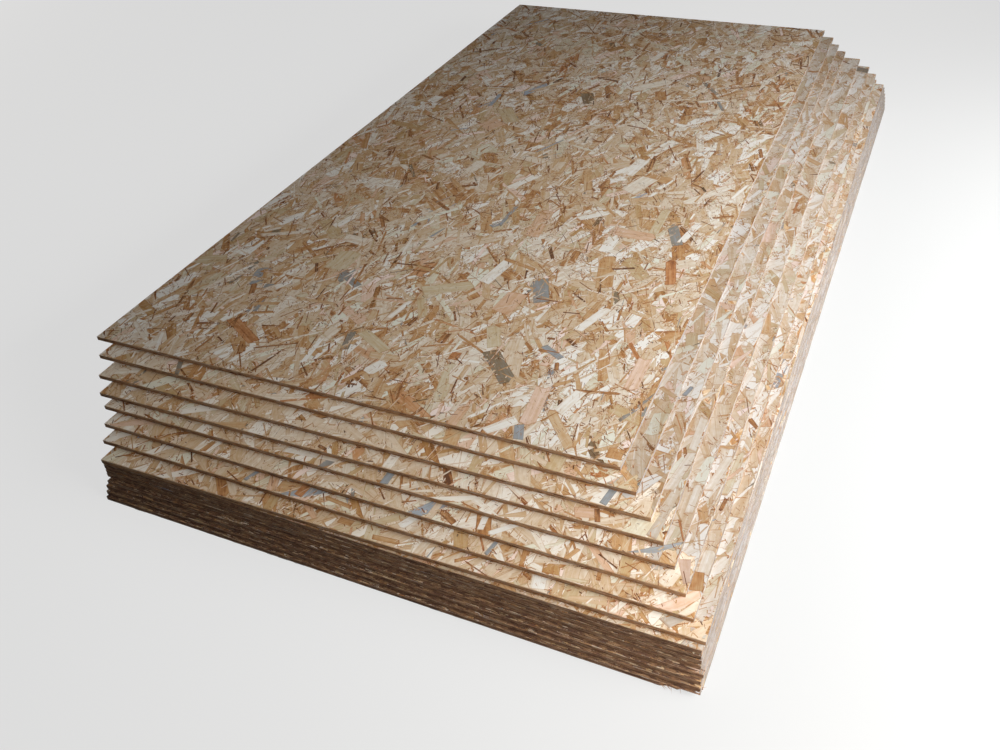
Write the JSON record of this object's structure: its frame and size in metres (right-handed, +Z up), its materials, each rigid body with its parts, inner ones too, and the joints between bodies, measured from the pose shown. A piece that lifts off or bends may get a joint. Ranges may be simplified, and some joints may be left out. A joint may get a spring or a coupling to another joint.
{
  "type": "stack of osb sheets",
  "caption": "Flat stack of full-size oriented strand board sheets, the lower ones flush and the upper ones fanned back and to one side.",
  "frame": {"origin": "middle of the lowest sheet's underside, on the floor", "axes": "+Z up, +Y along the sheets' length, away from the front, +X along their width"},
  "size_m": [1.493, 2.7464, 0.1485],
  "materials": {
    "osb": "pressed straw-coloured softwood strands, matt, unsanded"
  },
  "bodies": {
    "root": {"flush_sheet_1": "osb", "flush_sheet_2": "osb", "flush_sheet_3": "osb", "flush_sheet_4": "osb", "flush_sheet_5": "osb", "flush_sheet_6": "osb", "flush_sheet_7": "osb", "flush_sheet_8": "osb", "fanned_sheet_1": "osb", "fanned_sheet_2": "osb", "fanned_sheet_3": "osb", "fanned_sheet_4": "osb", "fanned_sheet_5": "osb", "fanned_sheet_6": "osb", "fanned_sheet_7": "osb", "fanned_sheet_8": "osb"}
  },
  "joints": []
}
